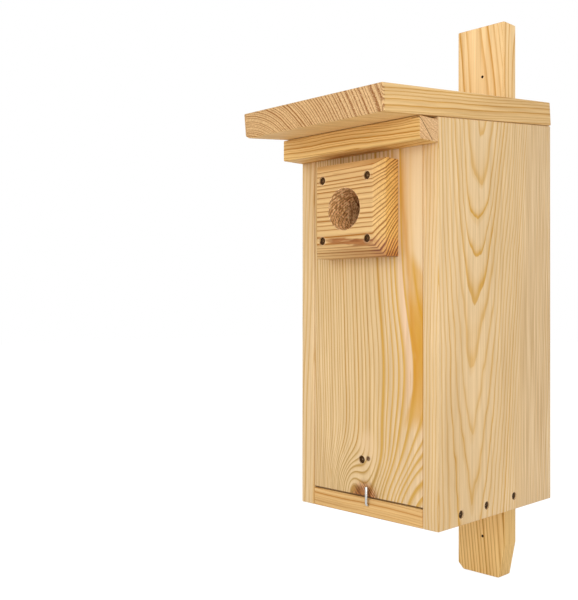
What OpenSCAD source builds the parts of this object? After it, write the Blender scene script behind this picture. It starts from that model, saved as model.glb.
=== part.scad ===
// Wooden nest box on a hanging slat: X to the right, Y to the back, Z up.
// The origin lies on the slat's back face, on its centre line, level with the box's underside.

/* [Box] */
// Width over the two side boards
box_w = 190; // [150:1:230]
// Depth of the side boards, front to back
box_d = 220; // [190:1:260]
// Height of the side boards at their front edge
front_h = 412; // [390:1:470]
// Slope of the roof, falling to the front, in degrees
roof_slope = 5.7; // [2:0.1:8]
// Thickness of the planed boards
board_t = 19.5; // [16:0.5:24]
// Width of the small flat on each sharp edge
edge_ease = 1.1; // [0.4:0.1:2]
// Running gap between the loose front and what is round it
slide_gap = 0.4; // [0.3:0.1:0.8]
// Gap under the loose front
foot_gap = 1.2; // [0.6:0.1:2]

/* [Roof] */
// Thickness of the roof board
roof_t = 27; // [20:0.5:34]
// Length of the roof ahead of the box
roof_front = 86; // [65:1:110]
// Length of the roof beyond each side board
roof_side = 1; // [0:0.5:12]

/* [Batten] */
// Depth of the batten, front to back
batten_d = 30; // [22:1:36]
// Height of the batten
batten_h = 23; // [16:0.5:24]

/* [Front] */
// Space over the loose front, which lets it rise behind the batten
rise_space = 11; // [9.5:0.5:13]
// Diameter of the entrance hole
hole_d = 44; // [26:1:50]
// Distance from the front's height down to the entrance hole's centre
hole_down = 86.5; // [86:0.5:130]
// Distance of the entrance hole left of the middle
hole_left = 4; // [0:0.5:12]
// Height of the pull screw
pull_z = 59.5; // [50:0.5:100]
// Distance of the pull screw left of the middle
pull_left = 5.3; // [-20:0.1:20]
// Number of climbing grooves inside the front
groove_count = 6; // [2:1:8]
// Distance from one climbing groove to the next
groove_pitch = 22; // [14:1:26]
// Length of a climbing groove
groove_len = 90; // [60:1:110]
// Height of a climbing groove
groove_h = 3; // [2:0.5:5]
// Depth of a climbing groove
groove_deep = 2; // [1:0.5:4]

/* [Entrance block] */
// Width of the block
block_w = 97; // [88:1:108]
// Height of the block
block_h = 100.5; // [94:0.5:101.5]
// Thickness of the block
block_t = 30; // [22:1:36]
// Distance from the hole's centre down to the block's underside
block_drop = 50.5; // [50:0.5:54]
// Depth of the bevel round the block's front
bevel_deep = 10; // [6:0.5:14]
// Width of the bevel at the two sides
bevel_side = 9.5; // [4:0.5:12]
// Height of the bevel at the top
bevel_top = 7.5; // [4:0.5:12]
// Height of the bevel at the bottom
bevel_bottom = 13; // [6:0.5:14]
// Distance of the block's screws from each other, across
block_screw_w = 62.5; // [56:0.5:66]
// Distance of the block's screws from each other, up and down
block_screw_h = 64.5; // [56:0.5:68]

/* [Latch] */
// Diameter of the latch hook's wire
wire_d = 3.2; // [2.5:0.1:4.5]
// Distance of the latch hook right of the middle
hook_right = 4; // [-15:0.5:15]
// Height of the latch hook's shank
hook_z = 12.4; // [8:0.1:13]
// Height of the latch hook's tip
hook_tip_z = 32.4; // [28:0.1:40]
// Length of the shank in the floor board
hook_grip = 24; // [18:1:34]
// Gap between the latch hook and the floor's front edge
hook_gap = 1.2; // [0.6:0.1:3]

/* [Stops] */
// Thickness of the two stops behind the front
stop_t = 12; // [8:1:16]
// Height of the two stops behind the front
stop_h = 150; // [100:1:190]
// Distance of a stop's nails from its ends
stop_nail_in = 37; // [15:1:45]

/* [Slat] */
// Width of the hanging slat
slat_w = 67; // [54:1:80]
// Thickness of the hanging slat
slat_t = 26; // [20:1:32]
// Length of the slat above the box's underside
slat_up = 571; // [520:1:680]
// Length of the slat below the box's underside
slat_down = 109; // [90:1:140]
// Diameter of the two nail holes
nail_hole_d = 3; // [2.5:0.5:6]
// Height of the upper nail hole
nail_top_z = 508.5; // [470:0.5:512]
// Depth of the lower nail hole below the box's underside
nail_low_z = 62; // [40:0.5:80]
// Distance of the nail holes right of the slat's middle
nail_right = 2.5; // [-10:0.5:10]
// Width of the cut corner at the slat's lower left
corner_w = 6; // [2:0.5:10]
// Height of the cut corner at the slat's lower left
corner_h = 9; // [3:0.5:16]
// Width of the wane at the slat's lower right
wane_w = 5; // [2:0.5:9]
// Height of the wane at the slat's lower right
wane_h = 42; // [26:1:60]
// Height over which the wane has its full width
wane_full_h = 17; // [8:1:24]

/* [Floor] */
// Diameter of the four drain holes
drain_d = 8; // [5:0.5:12]
// Distance of a drain hole from the inner corner, both ways
drain_in = 38; // [36:1:50]

/* [Screws] */
// Diameter of the screws
screw_d = 4; // [3:0.5:4.5]
// Diameter of the screws' heads
head_d = 8; // [7:0.5:9]
// Depth of the heads below the wood
head_sink = 1.2; // [0.4:0.1:2]
// Reach of the roof's screws below the roof board
roof_screw_grip = 18; // [12:0.5:18]
// Distance of the foremost roof screws in the side boards from the front of the box
roof_screw_front = 35; // [20:1:60]
// Distance of the rearmost roof screws in the side boards from the back of the box
roof_screw_rear = 50; // [40:1:70]
// Distance of the roof screws in the batten from its ends
batten_screw_in = 32; // [20:1:45]
// Reach of the screws in the floor board
floor_screw_grip = 25; // [18:0.5:28]
// Reach of the slat's screws in the back panel
slat_screw_grip = 14; // [9:0.5:14.5]
// Distance of the slat's screws from the box's underside, and from the front's height
slat_screw_in = 62; // [40:1:90]
// Reach of the block's screws in the front panel
block_screw_grip = 12; // [8:0.5:14]
// Reach of the pull screw in the front panel
pull_screw_grip = 14; // [9:0.5:14.5]
// Height of the foremost screw in the floor's edge
side_screw_z = 11.5; // [7:0.5:12]
// Rise of the row of screws in the floor's edge, front to back
side_screw_rise = 3.4; // [0:0.1:4]
// Distance of the foremost side screw from the front
side_screw_front = 39; // [25:1:50]
// Distance of the rearmost side screw from the front
side_screw_rear = 140; // [115:1:160]
// Distance of the middle side screw ahead of half way
side_screw_shift = 3.5; // [0:0.5:8]
// Diameter of the stops' nails
nail_d = 1.8; // [1.2:0.1:2.4]
// Reach of the stops' nails in the side boards
nail_grip = 13; // [8:0.5:14]

/* [Hidden] */
$fn = 48;
far = 2000;
// A screw's or a shank's room in its hole, and a laid joint's room
bore_gap = 0.05;
joint_gap = 0.2;
cross_w = 1;
tip_d = 0.3;
nail_head_d = 2 * nail_d;
nail_head_h = 0.8;
// How far a cut runs past the face that it opens
past = 1;
screw_head_h = (head_d - screw_d) / 2;
cross_deep = 0.9 * screw_head_h;
roof_screw_len = roof_t - head_sink + roof_screw_grip;
floor_screw_len = board_t - head_sink + floor_screw_grip;
slat_screw_len = slat_t - head_sink + slat_screw_grip;
block_screw_len = block_t - head_sink + block_screw_grip;
pull_screw_len = pull_screw_grip;
nail_len = stop_t + nail_grip;
hole_z = front_h - hole_down;

back_y = -slat_t;
front_y = back_y - box_d;
half_w = box_w / 2;
inner_w = box_w - 2 * board_t;
back_inner_y = back_y - board_t;
// Height of the roof's underside over a depth y
function under_roof(y) = front_h + (y - front_y) * tan(roof_slope);

floor_top = board_t;
panel_y = front_y + slide_gap;
panel_z0 = floor_top + foot_gap;
panel_z1 = front_h - rise_space;
panel_w = inner_w - 2 * slide_gap;
batten_top = under_roof(front_y - batten_d) - joint_gap;
hole_x = -hole_left;
block_z0 = hole_z - block_drop;
block_front_y = panel_y - block_t;
stop_y = panel_y + board_t + slide_gap;

// Where the screws go, each list shared by a set of screws and by its holes
block_screw_at = [for (x = [-1, 1], z = [-1, 1])
    [hole_x + x * block_screw_w / 2, hole_z + z * block_screw_h / 2]];
side_screw_at = [for (i = [0, 0.5, 1])
    let (y = side_screw_front + i * (side_screw_rear - side_screw_front) - (i == 0.5 ? side_screw_shift : 0))
    [front_y + y, side_screw_z + i * side_screw_rise]];
back_screw_at = [for (x = [-1, 1]) [x * (slat_w / 2 + inner_w / 2) / 2, floor_top / 2]];
slat_screw_at = [for (x = [-1, 1], z = [slat_screw_in, front_h - slat_screw_in]) [x * slat_w / 4, z]];
// Along the roof, measured from the front of the box
roof_screw_at = concat(
    [for (x = [-1, 1], y = [roof_screw_front, box_d - roof_screw_rear]) [x * (half_w - board_t / 2), y]],
    [for (x = [-1, 1]) [x * inner_w / 4, (box_d - board_t / 2) / cos(roof_slope)]],
    [for (x = [-1, 1]) [x * (half_w - batten_screw_in), -batten_d / 2 / cos(roof_slope)]]);
stop_nail_at = [for (z = [stop_nail_in, stop_h - stop_nail_in]) floor_top + z];

module eased_rect(w, h) {
    e = edge_ease;
    polygon([[e, 0], [w - e, 0], [w, e], [w, h - e], [w - e, h], [e, h], [0, h - e], [0, e]]);
}

// A board with every sharp edge taken off, from its corner
module board(w, d, h) {
    intersection() {
        linear_extrude(h) eased_rect(w, d);
        translate([0, d, 0]) rotate([90, 0, 0]) linear_extrude(d) eased_rect(w, h);
        rotate([90, 0, 90]) linear_extrude(w) eased_rect(d, h);
    }
}

// A standing board from y0 to y1, cut off under the sloping roof
module roofed_board(x, w, y0, y1) {
    e = edge_ease;
    intersection() {
        translate([x, 0, 0]) rotate([90, 0, 90]) linear_extrude(w)
            polygon([[y0 + e, 0], [y1 - e, 0], [y1, e], [y1, under_roof(y1) - joint_gap],
                     [y0, under_roof(y0) - joint_gap], [y0, e]]);
        translate([x, y0, 0]) linear_extrude(far) eased_rect(w, y1 - y0);
        translate([x, y1, 0]) rotate([90, 0, 0]) linear_extrude(y1 - y0) eased_rect(w, far);
    }
}

// Children placed on the roof's underside where it meets the front of the box
module on_roof_slope() {
    translate([0, front_y, front_h]) rotate([roof_slope, 0, 0]) children();
}

// Screws point down, with the top of the head at zero
module screw(length) {
    tip = screw_d;
    difference() {
        union() {
            translate([0, 0, -screw_head_h]) cylinder(h = screw_head_h, d1 = screw_d, d2 = head_d);
            translate([0, 0, tip - length]) cylinder(h = length - tip - screw_head_h, d = screw_d);
            translate([0, 0, -length]) cylinder(h = tip, d1 = tip_d, d2 = screw_d);
        }
        for (turn = [0, 90]) rotate([0, 0, turn])
            translate([-head_d / 4, -cross_w / 2, -cross_deep])
                cube([head_d / 2, cross_w, cross_deep + past]);
    }
}

module screw_hole(length) {
    d = screw_d + 2 * bore_gap;
    room_d = head_d + 2 * bore_gap;
    translate([0, 0, -length - joint_gap]) cylinder(h = length, d = d);
    translate([0, 0, -screw_head_h - bore_gap]) cylinder(h = screw_head_h + bore_gap, d1 = d, d2 = room_d);
    translate([0, 0, -bore_gap]) cylinder(h = head_sink + past, d = room_d);
}

// Each set of screws stands at its own places, heads sunk in the wood
module at_block_screws() {
    for (p = block_screw_at) translate([p.x, block_front_y + head_sink, p.y])
        rotate([90, 0, 0]) children();
}

module at_pull_screw() {
    translate([-pull_left, panel_y + head_sink, pull_z]) rotate([90, 0, 0]) children();
}

module at_side_screws(side) {
    for (p = side_screw_at) translate([side * (half_w - head_sink), p.x, p.y])
        rotate([0, side * 90, 0]) children();
}

module at_back_screws() {
    for (p = back_screw_at) translate([p.x, back_y - head_sink, p.y]) rotate([-90, 0, 0]) children();
}

module at_slat_screws() {
    for (p = slat_screw_at) translate([p.x, -head_sink, p.y]) rotate([-90, 0, 0]) children();
}

module at_roof_screws() {
    on_roof_slope() for (p = roof_screw_at) translate([p.x, p.y, roof_t - head_sink]) children();
}

module at_stop_nails(side) {
    for (z = stop_nail_at) translate([side * (inner_w / 2 - stop_t), stop_y + stop_t / 2, z])
        rotate([0, -side * 90, 0]) children();
}

module side_board(side) {
    difference() {
        roofed_board(side > 0 ? half_w - board_t : -half_w, board_t, front_y, back_y);
        at_side_screws(side) screw_hole(floor_screw_len);
        at_roof_screws() screw_hole(roof_screw_len);
        at_stop_nails(side) nail_hole();
    }
}

module left_side() {
    color("#e6c893") side_board(-1);
}

module right_side() {
    color("#ead0a0") side_board(1);
}

module back_panel() {
    color("#dfc08a") difference() {
        roofed_board(-inner_w / 2, inner_w, back_inner_y, back_y);
        at_back_screws() screw_hole(floor_screw_len);
        at_slat_screws() screw_hole(slat_screw_len);
        at_roof_screws() screw_hole(roof_screw_len);
    }
}

module floor_board() {
    depth = back_inner_y - front_y;
    color("#e2bd80") difference() {
        translate([-inner_w / 2, front_y, 0]) board(inner_w, depth, floor_top);
        for (x = [-1, 1], y = [drain_in, depth - drain_in])
            translate([x * (inner_w / 2 - drain_in), front_y + y, -past])
                cylinder(h = floor_top + 2 * past, d = drain_d);
        for (side = [-1, 1]) at_side_screws(side) screw_hole(floor_screw_len);
        at_back_screws() screw_hole(floor_screw_len);
        translate([hook_right, front_y - past, hook_z]) rotate([-90, 0, 0])
            cylinder(h = hook_grip + past + joint_gap, d = wire_d + 2 * bore_gap);
    }
}

// The loose front: its grooves are saw cuts that give young birds a hold
module front_panel() {
    color("#ecd2a0") difference() {
        translate([-panel_w / 2, panel_y, panel_z0]) board(panel_w, board_t, panel_z1 - panel_z0);
        entrance_bore(panel_y, board_t);
        for (i = [1 : groove_count])
            translate([hole_x - groove_len / 2, panel_y + board_t - groove_deep,
                       hole_z - hole_d / 2 - i * groove_pitch])
                cube([groove_len, groove_deep + past, groove_h]);
        at_block_screws() screw_hole(block_screw_len);
        at_pull_screw() screw_hole(pull_screw_len);
    }
}

module entrance_bore(y, length) {
    translate([hole_x, y - past, hole_z]) rotate([-90, 0, 0])
        cylinder(h = length + 2 * past, d = hole_d, $fn = 96);
}

// Square block with a bevel round its front, mitred at the corners
module entrance_block() {
    color("#deb474") difference() {
        translate([hole_x - block_w / 2, block_front_y, block_z0]) intersection() {
            linear_extrude(block_h) polygon([[bevel_side, 0], [block_w - bevel_side, 0],
                [block_w, bevel_deep], [block_w, block_t], [0, block_t], [0, bevel_deep]]);
            rotate([90, 0, 90]) linear_extrude(block_w) polygon([[0, bevel_bottom], [bevel_deep, 0],
                [block_t, 0], [block_t, block_h], [bevel_deep, block_h], [0, block_h - bevel_top]]);
        }
        entrance_bore(block_front_y, block_t);
        at_block_screws() screw_hole(block_screw_len);
    }
}

module roof_board() {
    rear = (box_d - joint_gap) / cos(roof_slope);
    color("#dcb06c") difference() {
        on_roof_slope() translate([-half_w - roof_side, -roof_front, 0])
            board(box_w + 2 * roof_side, roof_front + rear, roof_t);
        at_roof_screws() screw_hole(roof_screw_len);
    }
}

module front_batten() {
    color("#d6a55c") difference() {
        translate([-half_w, front_y - batten_d, batten_top - batten_h]) board(box_w, batten_d, batten_h);
        at_roof_screws() screw_hole(roof_screw_len);
    }
}

// The slat's lower end has one cut corner and, on the other side, the wane of the log
module mounting_slat() {
    w = slat_w / 2;
    color("#e8cc96") difference() {
        intersection() {
            translate([-w, back_y, -slat_down]) board(slat_w, slat_t, slat_up + slat_down);
            translate([0, past, 0]) rotate([90, 0, 0]) linear_extrude(slat_t + 2 * past)
                polygon([[-w + corner_w, -slat_down], [w - wane_w, -slat_down],
                         [w - wane_w, wane_full_h - slat_down], [w, wane_h - slat_down],
                         [w, slat_up], [-w, slat_up], [-w, corner_h - slat_down]]);
        }
        for (z = [nail_top_z, -nail_low_z]) translate([nail_right, back_y - past, z]) rotate([-90, 0, 0])
            cylinder(h = slat_t + 2 * past, d = nail_hole_d);
        at_slat_screws() screw_hole(slat_screw_len);
    }
}

module stop(side) {
    x = side > 0 ? inner_w / 2 - stop_t : -inner_w / 2;
    difference() {
        translate([x, stop_y, floor_top]) board(stop_t, stop_t, stop_h);
        at_stop_nails(side) nail_hole();
    }
}

module left_stop() {
    color("#d9b987") stop(-1);
}

module right_stop() {
    color("#d9b987") stop(1);
}

// Bent wire: a shank that turns in the floor board and an arm that stands in front of the panel
module latch_hook() {
    bend = wire_d / 2 + hook_gap;
    color("#c9ccd0") translate([hook_right, front_y, hook_z]) {
        rotate([-90, 0, 0]) cylinder(h = hook_grip, d = wire_d);
        translate([0, 0, bend]) rotate([180, 90, 0])
            rotate_extrude(angle = 90) translate([bend, 0]) circle(d = wire_d);
        translate([0, -bend, bend]) cylinder(h = hook_tip_z - hook_z - bend - wire_d / 2, d = wire_d);
        translate([0, -bend, hook_tip_z - hook_z - wire_d / 2]) sphere(d = wire_d);
    }
}

module pull_screw() {
    color("#3a3632") at_pull_screw() screw(pull_screw_len);
}

module block_screws() {
    color("#3a3632") at_block_screws() screw(block_screw_len);
}

module roof_screws() {
    color("#3a3632") at_roof_screws() screw(roof_screw_len);
}

module left_floor_screws() {
    color("#3a3632") at_side_screws(-1) screw(floor_screw_len);
}

module right_floor_screws() {
    color("#3a3632") at_side_screws(1) screw(floor_screw_len);
}

module back_screws() {
    color("#3a3632") at_back_screws() screw(floor_screw_len);
}

module slat_screws() {
    color("#3a3632") at_slat_screws() screw(slat_screw_len);
}

// Nails point down, with the top of the flat head at zero
module nail() {
    translate([0, 0, -nail_head_h]) cylinder(h = nail_head_h, d = nail_head_d);
    translate([0, 0, nail_d - nail_len]) cylinder(h = nail_len - nail_d - nail_head_h, d = nail_d);
    translate([0, 0, -nail_len]) cylinder(h = nail_d, d1 = tip_d, d2 = nail_d);
}

module nail_hole() {
    translate([0, 0, -nail_len - joint_gap]) cylinder(h = nail_len + past, d = nail_d + 2 * bore_gap);
    translate([0, 0, -nail_head_h - bore_gap])
        cylinder(h = nail_head_h + past, d = nail_head_d + 2 * bore_gap);
}

module stop_nails() {
    color("#8d9094") for (side = [-1, 1]) at_stop_nails(side) nail();
}

left_side();
right_side();
back_panel();
floor_board();
front_panel();
entrance_block();
roof_board();
front_batten();
mounting_slat();
left_stop();
right_stop();
latch_hook();
pull_screw();
block_screws();
roof_screws();
left_floor_screws();
right_floor_screws();
back_screws();
slat_screws();
stop_nails();
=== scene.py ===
"""Dresses a wooden nest box on its hanging slat in sawn pine, screws and bent wire."""

import math

import bmesh
import bpy
from bpy.props import FloatProperty, FloatVectorProperty, IntProperty, PointerProperty
from bpy.types import Operator, Panel, PropertyGroup
from mathutils import Matrix, Vector


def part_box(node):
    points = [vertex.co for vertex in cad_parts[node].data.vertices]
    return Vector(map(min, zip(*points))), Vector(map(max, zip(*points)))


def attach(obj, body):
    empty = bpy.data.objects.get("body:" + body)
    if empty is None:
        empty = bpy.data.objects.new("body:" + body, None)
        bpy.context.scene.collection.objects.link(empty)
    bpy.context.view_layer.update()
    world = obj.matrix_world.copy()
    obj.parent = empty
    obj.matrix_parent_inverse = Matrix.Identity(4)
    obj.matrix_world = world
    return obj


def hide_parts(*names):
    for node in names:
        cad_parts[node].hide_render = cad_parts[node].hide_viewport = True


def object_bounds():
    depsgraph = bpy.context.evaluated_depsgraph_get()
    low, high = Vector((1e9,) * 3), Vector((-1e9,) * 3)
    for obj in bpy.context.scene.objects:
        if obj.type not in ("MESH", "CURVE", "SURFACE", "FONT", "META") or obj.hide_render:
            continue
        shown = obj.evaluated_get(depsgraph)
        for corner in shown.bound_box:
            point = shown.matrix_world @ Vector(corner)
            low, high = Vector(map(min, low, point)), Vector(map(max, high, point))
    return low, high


bl_info = {
    "name": "Nest Box",
    "version": (1, 0, 0),
    "blender": (4, 5, 0),
    "location": "3D View > Sidebar > Nest Box",
    "description": "Builds the boards, screws and hook of a wooden nest box",
    "category": "Add Mesh",
}

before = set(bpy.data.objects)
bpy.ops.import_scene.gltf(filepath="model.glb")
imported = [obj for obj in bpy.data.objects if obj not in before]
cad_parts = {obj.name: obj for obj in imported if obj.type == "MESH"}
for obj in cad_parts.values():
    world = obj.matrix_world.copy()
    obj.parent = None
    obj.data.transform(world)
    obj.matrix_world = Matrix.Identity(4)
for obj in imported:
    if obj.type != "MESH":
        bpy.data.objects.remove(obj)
CAD_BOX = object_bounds()
ROOF_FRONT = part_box("roof_board")[0][1]

X, Y, Z = Vector((1, 0, 0)), Vector((0, 1, 0)), Vector((0, 0, 1))
MM = 0.001
# Rotations that bring a board's grain to the pattern's Z axis
ALONG_Z = (0, 0, 0)
ALONG_X = (0, math.radians(-90), 0)

# The resin streak in the loose front: its left edge and its strength at some heights, up to the front's top.
# A colour ramp holds values up to 1, so the left edge is given there as a share of a scale.
PANEL_TOP = 401 * MM
STREAK_SCALE = 100 * MM
STREAK_LEFT = (
    (95 * MM, 50 * MM), (118 * MM, 56 * MM), (140 * MM, 63 * MM), (172 * MM, 65.5 * MM),
    (200 * MM, 59 * MM), (245 * MM, 57 * MM), (290 * MM, 51 * MM), (345 * MM, 46 * MM))
STREAK_STRENGTH = (
    (96 * MM, 0.0), (112 * MM, 0.80), (132 * MM, 1.0), (160 * MM, 1.0), (200 * MM, 1.0),
    (222 * MM, 0.9), (243 * MM, 0.5), (262 * MM, 0.6), (350 * MM, 0.6), (390 * MM, 0.1))

# Height of the reddish streak low on the entrance block
BLOCK_STREAK = 287.8 * MM

# Ends of the crack in the batten's right end, in Y and Z
CRACK = ((-278 * MM, 409.2 * MM), (-256 * MM, 387.3 * MM))

# The slat's nail holes: their place across and their heights
NAIL_ACROSS = 2.5 * MM
NAIL_HEIGHTS = (508.5 * MM, -62 * MM)

# How far a cutter stands clear of the wood
CLEAR = 5 * MM


class NestBoxSizes(PropertyGroup):
    roof_slope: FloatProperty(
        name="Roof slope", description="Fall of the roof to the front",
        default=math.radians(5.7), subtype='ANGLE', unit='ROTATION')
    arris: FloatProperty(
        name="Arris", description="Radius that the sharp edges are sanded to",
        default=1.3 * MM, unit='LENGTH')
    block_arris: FloatProperty(
        name="Block arris", description="Radius on the edges of the entrance block",
        default=0.8 * MM, unit='LENGTH')
    roof_wane: FloatProperty(
        name="Roof wane", description="Width missing along the roof's lower left edge",
        default=5 * MM, unit='LENGTH')
    drain_hole: FloatProperty(
        name="Drain hole", description="Diameter of the floor's drain holes", default=8 * MM, unit='LENGTH')
    drain_in: FloatProperty(
        name="Drain hole inset", description="Distance of a drain hole from the side boards, front and back",
        default=38 * MM, unit='LENGTH')
    bevel_deep: FloatProperty(
        name="Bevel depth", description="Depth of the bevel round the entrance block",
        default=10 * MM, unit='LENGTH')
    bevel_side: FloatProperty(
        name="Side bevel", description="Width of the entrance block's bevel at its sides",
        default=9.5 * MM, unit='LENGTH')
    bevel_top: FloatProperty(
        name="Top bevel", description="Height of the entrance block's bevel at its top",
        default=7.5 * MM, unit='LENGTH')
    bevel_bottom: FloatProperty(
        name="Bottom bevel", description="Height of the entrance block's bevel at its bottom",
        default=13 * MM, unit='LENGTH')
    hole_right: FloatProperty(
        name="Hole across", description="Place of the entrance hole's centre from the middle",
        default=-4 * MM, unit='LENGTH')
    hole_height: FloatProperty(
        name="Hole height", description="Height of the entrance hole's centre",
        default=325.5 * MM, unit='LENGTH')
    hole_width: FloatProperty(
        name="Hole width", description="Diameter of the entrance hole",
        default=44 * MM, unit='LENGTH')
    groove_count: IntProperty(
        name="Grooves", description="Number of climbing grooves inside the front", default=6)
    groove_pitch: FloatProperty(
        name="Groove pitch", description="Distance from one climbing groove to the next",
        default=22 * MM, unit='LENGTH')
    screw_width: FloatProperty(
        name="Screw width", description="Diameter of the screws' shanks", default=4 * MM, unit='LENGTH')
    thread_pitch: FloatProperty(
        name="Thread pitch", description="Rise of a screw's thread in one turn",
        default=2.2 * MM, unit='LENGTH')
    hook_bend: FloatProperty(
        name="Hook bend", description="Radius of the latch hook's bend, along the wire's middle",
        default=2.8 * MM, unit='LENGTH')
    nail_hole: FloatProperty(
        name="Nail hole", description="Diameter of the slat's nail holes", default=3 * MM, unit='LENGTH')


class NestBoxColours(PropertyGroup):
    earlywood: FloatVectorProperty(
        name="Earlywood", description="Pale wood between the rings",
        default=(0.83, 0.61, 0.345), subtype='COLOR')
    latewood: FloatVectorProperty(
        name="Latewood", description="Darker line that ends each ring",
        default=(0.60, 0.320, 0.055), subtype='COLOR')
    resin: FloatVectorProperty(
        name="Resin", description="Resin-rich wood", default=(0.66, 0.305, 0.006), subtype='COLOR')
    knot: FloatVectorProperty(
        name="Knot", description="Wood of a knot", default=(0.12, 0.05, 0.015), subtype='COLOR')
    screw: FloatVectorProperty(
        name="Screw", description="Coating of the screws", default=(0.075, 0.036, 0.014), subtype='COLOR')
    wire: FloatVectorProperty(
        name="Wire", description="Plating of the latch hook", default=(0.56, 0.55, 0.53), subtype='COLOR')
    nail: FloatVectorProperty(
        name="Nail", description="Steel of the nails", default=(0.45, 0.45, 0.46), subtype='COLOR')


def sizes():
    return bpy.context.scene.nest_box_sizes


def colours():
    return bpy.context.scene.nest_box_colours


# Helpers for meshes

def deselect():
    bpy.ops.object.select_all(action='DESELECT')


def make_active(thing):
    deselect()
    thing.select_set(True)
    bpy.context.view_layer.objects.active = thing


def settle(name):
    """Puts the active object's place into its mesh and names it."""
    thing = bpy.context.active_object
    bpy.ops.object.transform_apply(location=True, rotation=True, scale=True)
    thing.name = name
    thing.data.name = name
    return thing


def cuboid(name, low, high):
    deselect()
    low, high = Vector(low), Vector(high)
    bpy.ops.mesh.primitive_cube_add(size=1, location=(low + high) / 2, scale=high - low)
    return settle(name)


def cylinder(name, at, direction, radius, length, vertices):
    """A cylinder that starts at a point and runs along a direction."""
    deselect()
    turn = Vector(direction).to_track_quat('Z', 'Y').to_euler()
    bpy.ops.mesh.primitive_cylinder_add(
        vertices=vertices, radius=radius, depth=length,
        location=Vector(at) + Vector(direction).normalized() * length / 2, rotation=turn)
    return settle(name)


def edit(thing, kind='FACE', chosen=lambda part: True):
    """Enters edit mode with the chosen faces, edges or vertices selected, and nothing else."""
    make_active(thing)
    bpy.ops.object.mode_set(mode='EDIT')
    bpy.ops.mesh.select_all(action='DESELECT')
    bpy.ops.mesh.select_mode(type=kind)
    mesh = bmesh.from_edit_mesh(thing.data)
    parts = {'FACE': mesh.faces, 'EDGE': mesh.edges, 'VERT': mesh.verts}[kind]
    for part in parts:
        part.select_set(chosen(part))
    mesh.select_flush_mode()
    bmesh.update_edit_mesh(thing.data)


def leave_edit():
    bpy.ops.object.mode_set(mode='OBJECT')


def round_edges(thing, width):
    make_active(thing)
    bevel = thing.modifiers.new("Arris", 'BEVEL')
    bevel.width = width
    bevel.segments = 3
    bevel.limit_method = 'ANGLE'
    bevel.angle_limit = math.radians(25)
    bpy.ops.object.modifier_apply(modifier=bevel.name)


def cut(thing, cutter):
    make_active(thing)
    boolean = thing.modifiers.new("Cut", 'BOOLEAN')
    boolean.operation = 'DIFFERENCE'
    boolean.solver = 'EXACT'
    boolean.object = cutter
    bpy.ops.object.modifier_apply(modifier=boolean.name)
    bpy.data.objects.remove(cutter)


def plane_off(thing, point, normal):
    """Planes away what lies beyond a point, along a normal."""
    edit(thing)
    bpy.ops.mesh.bisect(plane_co=point, plane_no=normal, clear_outer=True, use_fill=True)
    leave_edit()


def turned(name, outline, vertices=24):
    """A round, closed piece about the Z axis, extruded from ring to ring of radii and heights."""
    deselect()
    radius, height = outline[0]
    bpy.ops.mesh.primitive_circle_add(vertices=vertices, radius=radius, fill_type='NGON',
                                      location=(0, 0, height))
    thing = settle(name)
    edit(thing)
    for (radius, height), (next_radius, next_height) in zip(outline, outline[1:]):
        bpy.ops.mesh.extrude_region_move(TRANSFORM_OT_translate={"value": (0, 0, next_height - height)})
        bpy.ops.transform.resize(value=(next_radius / radius, next_radius / radius, 1))
    bpy.ops.mesh.select_all(action='SELECT')
    bpy.ops.mesh.normals_make_consistent(inside=False)
    leave_edit()
    return thing


def smooth(thing, angle=30):
    make_active(thing)
    bpy.ops.object.shade_smooth_by_angle(angle=math.radians(angle))


def joined(name, things):
    deselect()
    for thing in things:
        thing.select_set(True)
    bpy.context.view_layer.objects.active = things[0]
    bpy.ops.object.join()
    return settle(name)


def spread(name, original, places):
    """Copies a piece whose head looks up to places and ways, each turned a little further, and joins them."""
    copies = []
    for i, (place, way) in enumerate(places):
        copy = original.copy()
        copy.data = original.data.copy()
        bpy.context.collection.objects.link(copy)
        spin = Matrix.Rotation(math.radians(37 * i + 12), 4, 'Z')
        facing = way.to_track_quat('Z', 'Y').to_matrix().to_4x4()
        copy.matrix_world = Matrix.Translation(place) @ facing @ spin
        make_active(copy)
        bpy.ops.object.transform_apply(location=True, rotation=True, scale=True)
        copies.append(copy)
    bpy.data.objects.remove(original)
    return joined(name, copies)


def solids(node, turn=Matrix.Identity(3)):
    """Lowest and highest corner of each separate solid of a CAD node, seen from a turned frame."""
    mesh = bmesh.new()
    mesh.from_mesh(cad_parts[node].data)
    bmesh.ops.remove_doubles(mesh, verts=mesh.verts, dist=1e-6)
    waiting = set(mesh.verts)
    boxes = []
    while waiting:
        reached = [waiting.pop()]
        found = list(reached)
        while reached:
            vertex = reached.pop()
            for edge in vertex.link_edges:
                other = edge.other_vert(vertex)
                if other in waiting:
                    waiting.remove(other)
                    reached.append(other)
                    found.append(other)
        places = [turn.inverted() @ vertex.co for vertex in found]
        boxes.append([Vector(pick(place[i] for place in places) for i in range(3)) for pick in (min, max)])
    mesh.free()
    return sorted(boxes, key=lambda box: tuple(round(value, 5) for value in box[0]))


def finish(thing, material, body, node):
    """Gives a piece its material and its body, and puts it in place of the CAD node it stands for."""
    thing.data.materials.clear()
    thing.data.materials.append(material)
    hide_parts(node)
    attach(thing, body)


# Helpers for materials

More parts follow.
